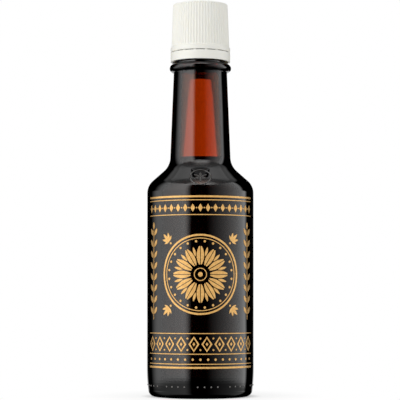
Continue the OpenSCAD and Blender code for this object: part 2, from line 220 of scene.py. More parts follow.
class Graph:
    """Adds nodes to one tree."""

    def __init__(self, tree):
        self.tree = tree

    def add(self, kind, inputs=None, out=0, **settings):
        """Adds a node, sets it up, fills its sockets and gives one output. A list links all it holds."""
        node = self.tree.nodes.new(kind)
        for name, value in settings.items():
            setattr(node, name, value)
        for name, value in (inputs or {}).items():
            if isinstance(value, (Socket, list)):
                for source in value if isinstance(value, list) else [value]:
                    self.tree.links.new(source.output, node.inputs[name])
            else:
                node.inputs[name].default_value = value
        return Socket(self, node.outputs[out]) if node.outputs else None

    def maths(self, operation, *values):
        return self.add("ShaderNodeMath", dict(enumerate(values)), operation=operation)

    def place(self):
        """The shaded point on its object."""
        return self.add("ShaderNodeTexCoord", out="Object")

    def xyz(self, place=None):
        """The x, y and z of a place, or of the shaded point on its object."""
        place = place or self.place()
        return [self.add("ShaderNodeSeparateXYZ", {"Vector": place}, axis) for axis in "XYZ"]

    def vector(self, x, y, z):
        return self.add("ShaderNodeCombineXYZ", {"X": x, "Y": y, "Z": z})

    def mix_colour(self, factor, first, second):
        return self.add("ShaderNodeMix", {0: factor, 6: first, 7: second}, 2, data_type="RGBA")

    def noise(self, scale, detail=2.0):
        """Noise on the object's own coordinates, from 0 to 1."""
        return self.add("ShaderNodeTexNoise", {"Vector": self.place(), "Scale": scale, "Detail": detail})

    def bump(self, height, distance, strength):
        return self.add("ShaderNodeBump", {"Height": height, "Distance": distance, "Strength": strength})

    def edge_on(self, low, high):
        """Rises from 0 to 1 where the surface turns edge on to the viewer."""
        return self.add("ShaderNodeLayerWeight", {"Blend": 0.5}, "Facing").step(low, high)

    def principled(self, **sockets):
        named = {name.replace("_", " "): value for name, value in sockets.items()}
        return self.add("ShaderNodeBsdfPrincipled", named)


def toned(base, *factors):
    """A colour with its red, green and blue scaled, by one factor or by three."""
    return (*(value * factor for value, factor in zip(base[:3], factors * 3)), 1.0)


def material(build):
    """Turns a function that makes a surface in a graph into one that makes the material."""
    def make(*values):
        made = bpy.data.materials.new(build.__name__)
        made.use_nodes = True
        made.node_tree.nodes.clear()
        graph = Graph(made.node_tree)
        graph.add("ShaderNodeOutputMaterial", {"Surface": build(graph, *values)})
        return made
    return make


def node_tree(name, counts, sizes, build):
    """A Geometry Nodes tree whose inputs are a mesh, the named counts and sizes, and a material."""
    tree = bpy.data.node_groups.new(name, "GeometryNodeTree")
    kinds = {"Geometry": "Geometry", **dict.fromkeys(counts.split(), "Int"),
             **dict.fromkeys(sizes.split(), "Float"), "Material": "Material"}
    for label, kind in kinds.items():
        tree.interface.new_socket(label, in_out="INPUT", socket_type="NodeSocket" + kind)
    tree.interface.new_socket("Geometry", in_out="OUTPUT", socket_type="NodeSocketGeometry")
    graph = Graph(tree)
    given = tree.nodes.new("NodeGroupInput")
    inputs = {socket.name: Socket(graph, socket) for socket in given.outputs if socket.name}
    graph.add("NodeGroupOutput", {"Geometry": build(graph, inputs)})
    return tree


def new_object(name, data):
    """A new object in the scene."""
    made = bpy.data.objects.new(name, data)
    bpy.context.scene.collection.objects.link(made)
    return made


def applied(carrier):
    """The plain mesh that an object's modifiers make of it. The object is used up."""
    depsgraph = bpy.context.evaluated_depsgraph_get()
    made = bpy.data.meshes.new_from_object(carrier.evaluated_get(depsgraph), depsgraph=depsgraph)
    bpy.data.objects.remove(carrier)
    return made


def run_tree(source, tree, **values):
    """Runs a tree on a mesh, with a value for each input, and returns a plain mesh."""
    carrier = new_object("carrier", source)
    modifier = carrier.modifiers.new(tree.name, "NODES")
    modifier.node_group = tree
    for item in tree.interface.items_tree:
        if item.in_out == "INPUT" and item.name.lower() in values:
            modifier[item.identifier] = values[item.name.lower()]
    return applied(carrier)


# Geometry Nodes trees

def finish_tree(graph, geometry, given):
    """Makes copies into plain geometry and gives it the material."""
    solid = graph.add("GeometryNodeRealizeInstances", {"Geometry": geometry})
    return graph.add("GeometryNodeSetMaterial", {"Geometry": solid, "Material": given["Material"]})


def copies(graph, given, place, rotation=(0.0, 0.0, 0.0)):
    """Copies of the given geometry at places worked out from their number."""
    points = graph.add("GeometryNodeMeshLine", {"Count": given["Count"], "Offset": (0.0, 0.0, 0.0)})
    moved = graph.add("GeometryNodeSetPosition", {"Geometry": points, "Position": place})
    made = graph.add("GeometryNodeInstanceOnPoints",
                     {"Points": moved, "Instance": given["Geometry"], "Rotation": rotation})
    return finish_tree(graph, made, given)


def row_tree():
    """Copies in a straight row across the front."""
    def build(graph, given):
        index = graph.add("GeometryNodeInputIndex")
        x = given["Width"] * ((index + 0.5) / given["Count"] - 0.5)
        return copies(graph, given, graph.vector(x, 0.0, given["Height"]))
    return node_tree("row", "Count", "Width Height", build)


def wheel_tree():
    """Copies in an upright ring round a point of the front, each turned outwards."""
    def build(graph, given):
        index = graph.add("GeometryNodeInputIndex")
        angle = (index + given["Start"]) / given["Count"] * math.tau
        x = given["Radius"] * angle.math("SINE")
        z = given["Height"] + given["Radius"] * angle.math("COSINE")
        return copies(graph, given, graph.vector(x, 0.0, z), graph.vector(0.0, angle, 0.0))
    return node_tree("wheel", "Count", "Start Radius Height", build)


def belt_tree():
    """Copies in groups round the upright axis, each turned outwards."""
    def build(graph, given):
        index = graph.add("GeometryNodeInputIndex")
        group = (index / given["Group"]).math("FLOOR")
        in_group = index - group * given["Group"]
        angle = (group * (given["Group"] + given["Pause"]) + in_group + given["Start"]) * given["Step"]
        x = given["Radius"] * angle.math("SINE")
        y = given["Radius"] * angle.math("COSINE") * -1.0
        return copies(graph, given, graph.vector(x, y, given["Height"]), graph.vector(0.0, 0.0, angle))
    return node_tree("belt", "Count Group Pause", "Start Step Radius Height", build)


def wrap_tree():
    """Gives flat artwork its thickness and bends it round the upright glass."""
    def build(graph, given):
        flat, outwards = given["Geometry"], graph.vector(0.0, given["Ink"] * -1.0, 0.0)
        raised = graph.add("GeometryNodeExtrudeMesh",
                           {"Mesh": flat, "Offset": outwards, "Offset Scale": 1.0, "Individual": False})
        back = graph.add("GeometryNodeFlipFaces", {"Mesh": flat})
        both = graph.add("GeometryNodeJoinGeometry", {"Geometry": [raised, back]})
        near = given["Ink"] * 0.1
        closed = graph.add("GeometryNodeMergeByDistance", {"Geometry": both, "Distance": near})
        x, y, z = graph.xyz(graph.add("GeometryNodeInputPosition"))
        angle, reach = x / given["Radius"], given["Radius"] - y
        place = graph.vector(reach * angle.math("SINE"), reach * angle.math("COSINE") * -1.0, z)
        bent = graph.add("GeometryNodeSetPosition", {"Geometry": closed, "Position": place})
        return finish_tree(graph, bent, given)
    return node_tree("wrap", "", "Radius Ink", build)


def rib_tree():
    """Presses grooves into the skirt of the cap, between two heights and outside a radius."""
    def build(graph, given):
        x, y, z = graph.xyz(graph.add("GeometryNodeInputPosition"))
        radius = (x * x + y * y).math("SQRT")
        wave = (y.math("ARCTAN2", x) * given["Count"]).math("COSINE") * 0.5 + 0.5
        ends = z.step(given["Foot"], given["Foot"] + given["Run"])
        ends = ends * (1.0 - z.step(given["Top"] - given["Run"], given["Top"]))
        outside = radius.math("GREATER_THAN", given["Inner"])
        pressed = wave * wave * ends * outside * given["Depth"] / radius * -1.0
        offset = graph.vector(x * pressed, y * pressed, 0.0)
        made = graph.add("GeometryNodeSetPosition", {"Geometry": given["Geometry"], "Offset": offset})
        return finish_tree(graph, made, given)
    return node_tree("ribs", "", "Count Depth Foot Top Run Inner", build)


# Outlines and meshes

def arc(centre, radius, start, end, steps):
    """Points of an arc, with its angles in degrees."""
    angles = np.radians(np.linspace(start, end, steps + 1))
    return [(centre[0] + radius * math.cos(a), centre[1] + radius * math.sin(a)) for a in angles]


def dome_r(half_width, rise):
    """Radius of the circle that rises by rise over a half width."""
    return (half_width ** 2 + rise ** 2) / (2 * rise)


def dome_points(top_z, half_width, rise, steps, grow=0.0):
    """Outline of a shallow dome from its middle outwards, moved down by grow."""
    r = dome_r(half_width, rise)
    return arc((0, top_z - r), r - grow, 90, 90 - math.degrees(math.asin(half_width / r)), steps)


def soften(corners, radius, steps=4):
    """Rounds the corners of a line of points, all but its two ends."""
    points = [np.array(c, float) for c in corners]
    made = [points[0]]
    for before, here, after in zip(points, points[1:], points[2:]):
        back, ahead = before - here, after - here
        room = 0.45 * min(np.linalg.norm(back), np.linalg.norm(ahead))
        back, ahead = back / np.linalg.norm(back), ahead / np.linalg.norm(ahead)
        half = math.acos(np.clip(back @ ahead, -1, 1)) / 2
        cut = min(radius / max(math.tan(half), 1e-6), room)
        for t in np.linspace(0, 1, steps + 1):
            made.append(here + ((1 - t) ** 2 * back + t ** 2 * ahead) * cut)
    return made + [points[-1]]


def fine_steps(points, step, low, high):
    """Splits the long stretches of a line that lie between two heights."""
    made = [np.array(points[0], float)]
    for here in points[1:]:
        here = np.array(here, float)
        inside = low <= min(here[1], made[-1][1]) and max(here[1], made[-1][1]) <= high
        count = max(1, math.ceil(np.linalg.norm(here - made[-1]) / step)) if inside else 1
        start = made[-1]
        made += [start + (here - start) * i / count for i in range(1, count + 1)]
    return made


def held(points, guard=0.12 * MM):
    """Adds a point near each end of every long stretch, so that smooth shading stays at the corners."""
    made = [np.array(points[0], float)]
    for here in points[1:]:
        way = np.array(here, float) - made[-1]
        size = np.linalg.norm(way)
        if size > 5 * guard:
            start = made[-1]
            made += [start + way * guard / size, start + way * (1 - guard / size)]
        made.append(np.array(here, float))
    return made


def lathe(name, outline, columns, swell=None):
    """A smooth mesh of revolution. swell(angle, r, z) gives what is added to the radius."""
    outline = np.array(held(outline), float)
    angles = np.arange(columns) * math.tau / columns
    poles = [i for i in (0, len(outline) - 1) if outline[i, 0] < 1e-7]
    rings = np.array([p for i, p in enumerate(outline) if i not in poles])
    r, z = np.repeat(rings[:, :1], columns, 1), np.repeat(rings[:, 1:], columns, 1)
    a = np.repeat(angles[None, :], len(rings), 0)
    if swell:
        r = r + swell(a, r, z)
    points = np.stack([r * np.cos(a), r * np.sin(a), z], 2).reshape(-1, 3).tolist()
    pairs = [(i, i + 1) for i in range(len(rings) - 1)] + ([] if poles else [(len(rings) - 1, 0)])
    faces = []
    for low, high in pairs:
        for i in range(columns):
            k = (i + 1) % columns
            faces.append((low * columns + i, low * columns + k, high * columns + k, high * columns + i))
    for pole in poles:
        ring = 0 if pole == 0 else len(rings) - 1
        points.append((0.0, 0.0, outline[pole, 1]))
        for i in range(columns):
            faces.append((len(points) - 1, ring * columns + i, ring * columns + (i + 1) % columns))
    mesh = new_mesh(name, points, faces)
    face_outwards(mesh)
    return mesh


def new_mesh(name, points, faces):
    mesh = bpy.data.meshes.new(name)
    mesh.from_pydata(points, [], faces)
    return mesh


def face_outwards(mesh):
    """Turns all faces of a closed mesh outwards and shades them smooth."""
    bm = bmesh.new()
    bm.from_mesh(mesh)
    bmesh.ops.remove_doubles(bm, verts=bm.verts, dist=1e-7)
    bmesh.ops.recalc_face_normals(bm, faces=bm.faces)
    bm.to_mesh(mesh)
    bm.free()
    mesh.shade_smooth()


def drawn(draw, *values):
    """A mesh that draw makes in bmesh."""
    bm = bmesh.new()
    draw(bm, *values)
    bmesh.ops.remove_doubles(bm, verts=bm.verts, dist=1e-7)
    mesh = bpy.data.meshes.new("drawn")
    bm.to_mesh(mesh)
    bm.free()
    return mesh


def add_piece(name, mesh, finish, body, slot, *nodes):
    """Makes a piece of the object: its finish, the body it rides on and the CAD nodes it stands for."""
    mesh.name = name
    mesh.materials.clear()
    mesh.materials.append(finish)
    piece = new_object(name, mesh)
    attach(piece, body)
    if nodes:
        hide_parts(*nodes)


def helix_rise(angle, z, start, turns, pitch, foot_w, crest_w, fade=0.15):
    """How far a helical ridge has risen at a place, from 0 to 1."""
    turn = np.mod(angle, math.tau) / math.tau
    way = np.round((z - start) / pitch - turn) + turn
    off = np.abs(z - start - pitch * way)
    flank = np.clip((foot_w / 2 - off) / (foot_w / 2 - crest_w / 2), 0, 1)
    ends = np.clip(np.minimum(way, turns - way) / (turns * fade), 0, 1)
    return flank * flank * (3 - 2 * flank) * ends


# Glass

def chosen(context, *groups):
    """The scene's property groups, by their short names."""
    return [getattr(context.scene, "bottle_" + group) for group in groups]


def taper(s):
    """How much narrower the neck gets for its height."""
    return (s.neck_base_r - s.neck_top_r) / s.neck_len


def shoulder_points(s, grow=0.0):
    """Outline of shoulder and neck, moved outwards by grow."""
    slope, lean = math.degrees(s.shoulder_slope), math.atan(taper(s))
    middle = (s.neck_base_r + s.fillet_r * math.cos(lean), neck_base_z(s) + s.fillet_r * math.sin(lean))
    return (arc((s.body_r - s.shoulder_r, s.body_h), s.shoulder_r + grow, 0, slope, ARC_STEPS)
            + arc(middle, s.fillet_r - grow, 180 + slope, 180 + math.degrees(lean), ARC_STEPS))


def neck_base_z(s):
    """Height where the hollow curve meets the neck."""
    slope, lean = s.shoulder_slope, math.atan(taper(s))
    foot_r = s.body_r - s.shoulder_r * (1 - math.cos(slope))
    foot_z = s.body_h + s.shoulder_r * math.sin(slope)
    top_r = s.neck_base_r + s.fillet_r * (math.cos(lean) - math.cos(slope))
    top_z = foot_z + (foot_r - top_r) / math.tan(slope)
    return top_z + s.fillet_r * (math.sin(slope) - math.sin(lean))


def bead_z(s):
    """Height of the middle of the bead."""
    return neck_base_z(s) + s.neck_len + s.bead_r


def foot_points(s):
    """Outline of the base, from the middle of the hollow to the straight wall."""
    stand_r = s.body_r - s.heel_inset - s.heel_r
    upper = s.heel_h - s.heel_r
    long_r = dome_r(upper, s.heel_inset)
    return (dome_points(s.pushup_h, stand_r - s.stand_w, s.pushup_h, 16)
            + arc((stand_r, s.heel_r), s.heel_r, -90, 0, 16)
            + arc((s.body_r - long_r, s.heel_h), long_r, -math.degrees(math.asin(upper / long_r)), 0, 8))


def mouth_points(s):
    """Outline of the mouth, from the bead to the inner edge of the rim."""
    recess_r, lock_z, rim_z = s.lock_r - 0.75 * MM, cap_low.z, glass_high.z
    lock_rise, crest_z, edge = 0.35 * MM, lock_z + 1.15 * MM, 0.5 * MM
    middle_r = s.neck_top_r + s.bead_rise - s.bead_r
    under = math.degrees(math.acos((s.neck_top_r - middle_r) / s.bead_r))
    over = math.degrees(math.acos((recess_r - middle_r) / s.bead_r))
    bead = arc((middle_r, bead_z(s)), s.bead_r, -under, over, ARC_STEPS)
    neck = np.array(bead[0]) + np.array([taper(s), -1.0]) * 3 * MM
    bead = soften([neck, bead[0], bead[3]], 0.4 * MM, 6)[1:] + bead[4:]
    lock = soften([bead[-1], (recess_r, lock_z), (s.lock_r, lock_z + lock_rise), (s.lock_r, crest_z),
                   (s.root_r, crest_z + s.lock_r - s.root_r), (s.root_r, rim_z - edge)], 0.3 * MM)
    return bead + lock[1:] + arc((s.root_r - edge, rim_z - edge), edge, 0, 90, 8)[1:]


def cavity_points(s, grow=0.0):
    """Outline of the inside of the glass, from the middle of the floor to the rim, widened by grow."""
    corner, edge_z, half_throat, rim_edge = 6 * MM, 4.5 * MM, 1.5 * MM, 0.5 * MM
    flat = s.body_r - s.wall - corner
    throat_z = neck_base_z(s) + s.neck_len
    throat = [(s.neck_top_r - s.wall + grow, throat_z - half_throat),
              (s.bore_r + grow, throat_z + half_throat), (s.bore_r + grow, glass_high.z - rim_edge)]
    shoulder = shoulder_points(s, grow - s.wall)
    upper = soften([shoulder[-1], *throat], 2 * MM, 12)
    return (dome_points(s.floor_h, flat, s.floor_h - edge_z, 12, grow)
            + arc((flat, edge_z + corner), corner + grow, -90, 0, 12) + shoulder + upper[1:])


@material
def amber_glass(graph, finish, bead_height):
    """Dark amber container glass, a little uneven, and darker where it is thick or seen edge on."""
    mouth_tint, thick_tint = (0.1, 0.006, 0.002, 1.0), (0.0004, 0.00004, 0.00002, 1.0)
    tint = graph.mix_colour(graph.noise(45.0), finish.glass, toned(finish.glass, 0.9))
    x, y, z = graph.xyz()
    mouth = z.step(bead_height - 3.0 * MM, bead_height - 2.0 * MM)
    tint = graph.mix_colour(mouth, tint, mouth_tint)
    outside = (x * x + y * y).math("SQRT").step(10.5 * MM, 11.3 * MM)
    base = 1.0 - z.step(7 * MM, 12 * MM)
    thick = (graph.edge_on(0.15, 0.32) * outside).math("MAXIMUM", base)
    tint = graph.mix_colour(thick, tint, thick_tint)
    wave = graph.bump(graph.noise(70.0, 1.0), 0.25 * MM, 0.5)
    return graph.principled(Base_Color=tint, Roughness=0.015, IOR=1.52, Transmission_Weight=1.0,
                            Normal=wave)


@material
def backed_glass(graph):
    """The same glass with the dark liquid right behind it, for raised marks, with a painted highlight on
    their crests.
    """
    painted_crest_highlight = (0.1, 0.097, 0.09, 1.0)
    depth = graph.mix_colour(graph.noise(300.0), (0.004, 0.0015, 0.001, 1.0), (0.006, 0.0025, 0.0015, 1.0))
    raised = graph.add("ShaderNodeAttribute", out="Fac", attribute_name="raised")
    # Painted highlight: the crests of the raised mark turn pale grey.
    depth = graph.mix_colour(raised.step(0.55, 0.95), depth, painted_crest_highlight)
    return graph.principled(Base_Color=depth, Roughness=0.05, IOR=1.52)


@material
def scuffed_glass(graph):
    """Pale glass on the small domes of the foot: a painted highlight on each."""
    # Painted highlight: the domes get a mottled pale grey colour.
    painted_dot_highlight = graph.mix_colour(graph.noise(900.0), (0.22, 0.21, 0.20, 1.0), (0.09, 0.085, 0.08, 1.0))
    return graph.principled(Base_Color=painted_dot_highlight, Roughness=0.4, IOR=1.52)


class BuildGlass(Operator):
    """Build the glass bottle with the mark on its shoulder and the dots round its foot"""

    bl_idname = "bottle.build_glass"
    bl_label = "Build Glass"

    def execute(self, context):
        s, c, finish = chosen(context, "glass", "closure", "finish")
        outline = foot_points(s) + shoulder_points(s) + mouth_points(s) + cavity_points(s)[::-1]
        thread_low = glass_high.z - THREAD_DROP
        outline = fine_steps(outline, 0.2 * MM, thread_low - 2 * MM, glass_high.z - 0.4 * MM)

        def thread(angle, r, z):
            outer = r > s.root_r - 0.01 * MM
            return outer * c.thread_depth * helix_rise(angle, z, thread_low, 2.0, c.pitch, 2 * MM, 0.9 * MM)

        add_piece("glass", lathe("glass", outline, 192, thread), amber_glass(finish, bead_z(s)), "bottle",
                  "amber_glass", "bottle")
        add_piece("shoulder_mark", shoulder_mark(s), backed_glass(), "bottle", "amber_glass")
        highlight_finish = scuffed_glass()
        add_piece("foot_dots", foot_dots(s, highlight_finish), highlight_finish, "bottle", "amber_glass")
        return {"FINISHED"}


def shoulder_mark(s):
    """A raised ring round a six-petalled flower, laid on the slope of the shoulder."""
    patch_r, ring_r, ring_w, relief, sunk = 5 * MM, 4.5 * MM, 0.3 * MM, 0.3 * MM, 0.04 * MM
    petals, petal_len, petal_w = 6, 3.1 * MM, 0.75 * MM
    rows, columns = 59, 180
    line = np.array(shoulder_points(s))
    way = np.concatenate([[0], np.cumsum(np.linalg.norm(np.diff(line, axis=0), axis=1))])
    middle = way[ARC_STEPS] + 0.7 * MM
    rho, phi = np.meshgrid(np.linspace(0, patch_r, rows + 1)[1:], np.arange(columns) * math.tau / columns,
                           indexing="ij")
    half_turn = math.pi / petals
    turned = np.mod(phi + half_turn, 2 * half_turn) - half_turn
    along, across = rho * np.cos(turned), rho * np.sin(turned)
    half = petal_w * np.sin(math.pi * np.clip(along / petal_len, 0, 1)) ** 0.8 + 1e-9
    petal = np.clip(1 - (across / half) ** 2, 0, 1) * (along < petal_len)
    ring = np.clip(1 - ((rho - ring_r) / ring_w) ** 2, 0, 1)
    raised = np.maximum(ring, 0.8 * petal)
    height = relief * raised - sunk
    u, v = rho * np.sin(phi), middle + rho * np.cos(phi)
    columns_of_line = (*line.T, *np.gradient(line, way, axis=0).T)
    r, z, tr, tz = (np.interp(v, way, values) for values in columns_of_line)
    size = np.hypot(tr, tz)
    r, z = r + height * tz / size, z - height * tr / size
    angle = u / r
    points = np.stack([r * np.sin(angle), -r * np.cos(angle), z], 2).reshape(-1, 3).tolist()
    back_r, back_z = np.interp(middle, way, line[:, 0]) - 1.2 * MM, np.interp(middle, way, line[:, 1]) - MM
    points.append((0.0, -float(back_r), float(back_z)))
    rim = (rows - 1) * columns
    faces = [tuple(range(columns))[::-1]]
    for k in range(columns):
        after = (k + 1) % columns
        faces += [(i + k, i + after, i + columns + after, i + columns + k) for i in range(0, rim, columns)]
        faces.append((rim + after, rim + k, len(points) - 1))
    mesh = new_mesh("shoulder_mark", points, faces)
    mesh.attributes.new("raised", "FLOAT", "POINT").data.foreach_set("value", [*raised.ravel(), 0.0])
    face_outwards(mesh)
    return mesh


def foot_dots(s, finish):
    """Small domes in groups of four round the foot."""
    dot_r, sunk, dot_z, groups, in_group = 0.42 * MM, 0.2 * MM, 5 * MM, 10, 4
    face_r = s.body_r - s.heel_inset * ((s.heel_h - dot_z) / (s.heel_h - s.heel_r)) ** 2
    dome = lathe("dot", arc((0, -sunk), dot_r, 90, -90, 10), 16)
    dome.transform(Matrix.Rotation(math.pi / 2, 4, "X"))
    step = math.tau / (groups * (in_group + 1))
    first_group = math.radians(-28)
    first = first_group / step - (in_group - 1) / 2
    return run_tree(dome, belt_tree(), count=groups * in_group, group=in_group, pause=1, start=first,
                    step=step, radius=face_r, height=dot_z, material=finish)


# Liquid

@material
def dark_liquid(graph, finish):
    """Dark bitters, a little redder at its top by the glass: a painted glow of light through the thin
    liquid.
    """
    z = graph.xyz()[2]
    # Painted light: the top 0.8 mm of the liquid gets five times its colour, as if light came through it.
    painted_glow = z.step(liquid_high.z - 0.8 * MM, liquid_high.z + 0.1 * MM)
    hue = graph.mix_colour(painted_glow, finish.liquid, toned(finish.liquid, 5.0))
    return graph.principled(Base_Color=hue, Roughness=0.1, IOR=1.13)


class BuildLiquid(Operator):
    """Build the liquid with the curved rim of its surface"""

    bl_idname = "bottle.build_liquid"
    bl_label = "Build Liquid"

    def execute(self, context):
        s, finish = chosen(context, "glass", "finish")
        wet, rim_z, climb, reach = 0.04 * MM, liquid_high.z + 0.1 * MM, 0.8 * MM, 1.0 * MM
        wall = [p for p in cavity_points(s, wet) if p[1] < rim_z - 0.01 * MM]
        rim_r = s.neck_base_r - s.wall + wet - taper(s) * (rim_z - neck_base_z(s))
        surface = [(rim_r - d, rim_z - climb * (1 - math.exp(-d / reach)))
                   for d in np.linspace(0, 6 * MM, 25)]
        mesh = lathe("liquid", wall + surface + [(0.0, rim_z - climb)], 192)
        add_piece("liquid", mesh, dark_liquid(finish), "bottle", "bitters_liquid", "bitters")
        return {"FINISHED"}


# Print

def flat_face(bm, points):
    """Adds a face in the plane of the front, facing the viewer."""
    face = bm.faces.new([bm.verts.new((x, 0.0, z)) for x, z in points])
    face.normal_update()
    if face.normal.y > 0:
        face.normal_flip()


def band_between(bm, outer, inner):
    """Fills the band between two closed outlines with as many points."""
    for i in range(len(outer)):
        k = (i + 1) % len(outer)
        flat_face(bm, [outer[i], outer[k], inner[k], inner[i]])


def bar(bm, wide, low, high):
    """An upright rectangle round the middle line."""
    flat_face(bm, [(-wide / 2, low), (wide / 2, low), (wide / 2, high), (-wide / 2, high)])


def circle_points(r, count, z=0.0):
    return [(r * math.sin(a), z + r * math.cos(a)) for a in np.arange(count) * math.tau / count]


def lozenge_points(w, h):
    return [(0, h / 2), (w / 2, 0), (0, -h / 2), (-w / 2, 0)]


def leaf_points(h, w, steps=10):
    """A leaf of two arcs that meet in points, from the origin up."""
    widths = [w / 2 * math.sin(math.pi * t) ** 0.85 for t in np.linspace(0, 1, steps + 1)]
    right = [(x, h * i / steps) for i, x in enumerate(widths)]
    return right + [(-x, z) for x, z in right[-2:0:-1]]


def leaf(bm, h, w, x=0.0, z=0.0, lean=0.0):
    """A whole leaf, its foot at x and z."""
    cos, sin = math.cos(lean), math.sin(lean)
    flat_face(bm, [(x + px * cos + pz * sin, z - px * sin + pz * cos) for px, pz in leaf_points(h, w)])


def veined_petal(bm, h, w, vein):
    """A petal in two halves, with a bare vein between them."""
    outline = leaf_points(h, w)
    half = [(max(x, vein / 2), z) for x, z in outline[1:len(outline) // 2]]
    half += [(vein / 2, h * 0.9), (vein / 2, h * 0.1)]
    flat_face(bm, half)
    flat_face(bm, [(-x, z) for x, z in half])


def big_lozenge(bm, line):
    """A lozenge of two outlines with a small one inside."""
    w, h = 4.6 * MM, 6.6 * MM
    band_between(bm, lozenge_points(w, h), lozenge_points(w - line, h - line))
    flat_face(bm, lozenge_points(w / 4, h / 4))


def sprig(bm, tall, stem):
    """An upright stem with pairs of leaves and one at its tip."""
    pairs, out, lean = 8, 0.6 * MM, math.radians(32)
    bar(bm, stem, -tall / 2, tall / 2)
    for i in range(pairs):
        for side in (-1, 1):
            leaf(bm, 3.6 * MM, 1.5 * MM, side * out, (i + 0.5) * tall / pairs - tall / 2, side * lean)
    leaf(bm, 3.2 * MM, 1.3 * MM, z=tall / 2 + 0.2 * MM)


def palmette(bm):
    """A fan of five leaves over a dot."""
    for i, size in zip((-2, -1, 0, 1, 2), (0.62, 0.85, 1.0, 0.85, 0.62)):
        leaf(bm, 4.4 * MM * size, 1.3 * MM * size, lean=i * math.radians(34))
    flat_face(bm, circle_points(0.45 * MM, 16, -1.1 * MM))


@material
def gold_ink(graph, finish):
    """Fired ink: a satin coat with a fine mottle, and painted shade where it is seen edge on."""
    mottle = graph.noise(900.0, 4.0).step(0.35, 0.65)
    hue = graph.mix_colour(mottle, finish.ink, toned(finish.ink, 0.86, 0.8, 0.7))
    # Painted shade: the ink's colour darkens to 40 % where the surface turns edge on to the viewer.
    hue = graph.mix_colour(graph.edge_on(0.3, 0.65), hue, toned(finish.ink, 0.4))
    grain = graph.bump(graph.noise(2500.0, 3.0), 0.02 * MM, 0.4)
    return graph.principled(Base_Color=hue, Metallic=0.15, Roughness=0.42, Normal=grain)


class BuildPrint(Operator):
    """Build the fired print on the front: rules, rows of lozenges and a round flower between sprigs"""

    bl_idname = "bottle.build_print"
    bl_label = "Build Print"

    def execute(self, context):
        s, p, finish = chosen(context, "glass", "print", "finish")
        ink, row, wheel = gold_ink(finish), row_tree(), wheel_tree()
        width, flower = p.arc * s.body_r, p.flower_r
        gap, top_row, dot_row, big_row = 0.9 * MM, 6.2 * MM, 4.2 * MM, 8.6 * MM
        upper, lower = print_high.z - p.bold - gap - p.fine, print_low.z + p.bold + gap
        middle = (upper - top_row + lower + dot_row + big_row) / 2
        small_z, dots_z, big_z = upper - top_row / 2, lower + dot_row / 2, lower + dot_row + big_row / 2
        pearl_r, hub, sprig_x = 0.5 * MM, 3.2 * MM, math.radians(59) * s.body_r
        artwork = bmesh.new()

        def dot(r, count=16):
            return drawn(flat_face, circle_points(r, count))

        def ring(r, w):
            return drawn(band_between, circle_points(r, 96), circle_points(r - w, 96))

        for z in (print_low.z, print_high.z - p.bold):
            bar(artwork, width, z, z + p.bold)
        for z in (lower, lower + dot_row, lower + dot_row + big_row, upper - top_row, upper):
            bar(artwork, width, z, z + p.fine)
        rows = [(drawn(flat_face, lozenge_points(2 * MM, 3.4 * MM)), 17, width, small_z),
                (dot(0.3 * MM), 16, width * 16 / 17, small_z),
                (dot(pearl_r, 20), 17, width, dots_z),
                (drawn(big_lozenge, 2 * p.bold), 10, width, big_z),
                (dot(0.4 * MM), 9, width * 9 / 10, big_z - 2.4 * MM),
                (dot(0.4 * MM), 9, width * 9 / 10, big_z + 2.4 * MM),
                (drawn(sprig, 2 * (flower + 2 * MM), p.fine), 2, 4 * sprig_x, middle)]
        for mesh, count, wide, z in rows:
            artwork.from_mesh(run_tree(mesh, row, count=count, width=wide, height=z, material=ink))
        wheels = [(ring(flower, p.bold), 1, 0.0, 0.0),
                  (ring(flower - 2 * p.bold, p.fine), 1, 0.0, 0.0),
                  (ring(hub - gap / 2, p.fine), 1, 0.0, 0.0),
                  (dot(2 * pearl_r, 32), 1, 0.0, 0.0),
                  (dot(pearl_r, 20), p.pearls, 0.5, flower - 3 * MM),
                  (drawn(veined_petal, 9.6 * MM, 3.2 * MM, 0.3 * MM), p.petals, 0.0, hub),
                  (drawn(leaf, 4 * MM, 1.1 * MM), p.petals, 0.5, hub + 4.6 * MM),
                  (drawn(palmette), 4, 0.5, flower + 2.7 * MM)]
        for mesh, count, start, radius in wheels:
            artwork.from_mesh(run_tree(mesh, wheel, count=count, start=start, radius=radius, height=middle,
                                       material=ink))

        facet = 0.9 * MM
        reach = math.floor(width / 2 / facet)
        for x in np.arange(-reach, reach + 1) * facet:
            bmesh.ops.bisect_plane(artwork, geom=artwork.verts[:] + artwork.edges[:] + artwork.faces[:],
                                   plane_co=(x, 0, 0), plane_no=(1, 0, 0))
        flat = bpy.data.meshes.new("artwork")
        artwork.to_mesh(flat)
        artwork.free()
        mesh = run_tree(flat, wrap_tree(), radius=s.body_r, ink=p.ink, material=ink)
        add_piece("front_ornament", mesh, ink, "bottle", "gold_ink", "front_print")
        return {"FINISHED"}


# Closure

@material
def cap_plastic(graph, finish):
    """Ivory polypropylene with a fine moulded grain."""
    hue = graph.mix_colour(graph.noise(60.0, 3.0), finish.cap, toned(finish.cap, 1.0, 0.99, 0.96))
    rough = 0.34 + graph.noise(400.0) * 0.1
    grain = graph.bump(graph.noise(3000.0, 2.0), 0.015 * MM, 0.5)
    return graph.principled(Base_Color=hue, Roughness=rough, IOR=1.49, Subsurface_Weight=0.2,
                            Subsurface_Radius=(1.0, 0.9, 0.7), Subsurface_Scale=0.0012, Normal=grain)


@material
def plug_plastic(graph, finish):
    """Milky polyethylene."""
    hue = graph.mix_colour(graph.noise(200.0), finish.plug, toned(finish.plug, 0.95))
    grain = graph.bump(graph.noise(2000.0), 0.02 * MM, 0.4)
    return graph.principled(Base_Color=hue, Roughness=0.4, IOR=1.51, Subsurface_Weight=0.3,
                            Subsurface_Radius=(1.0, 0.95, 0.85), Subsurface_Scale=0.001, Normal=grain)


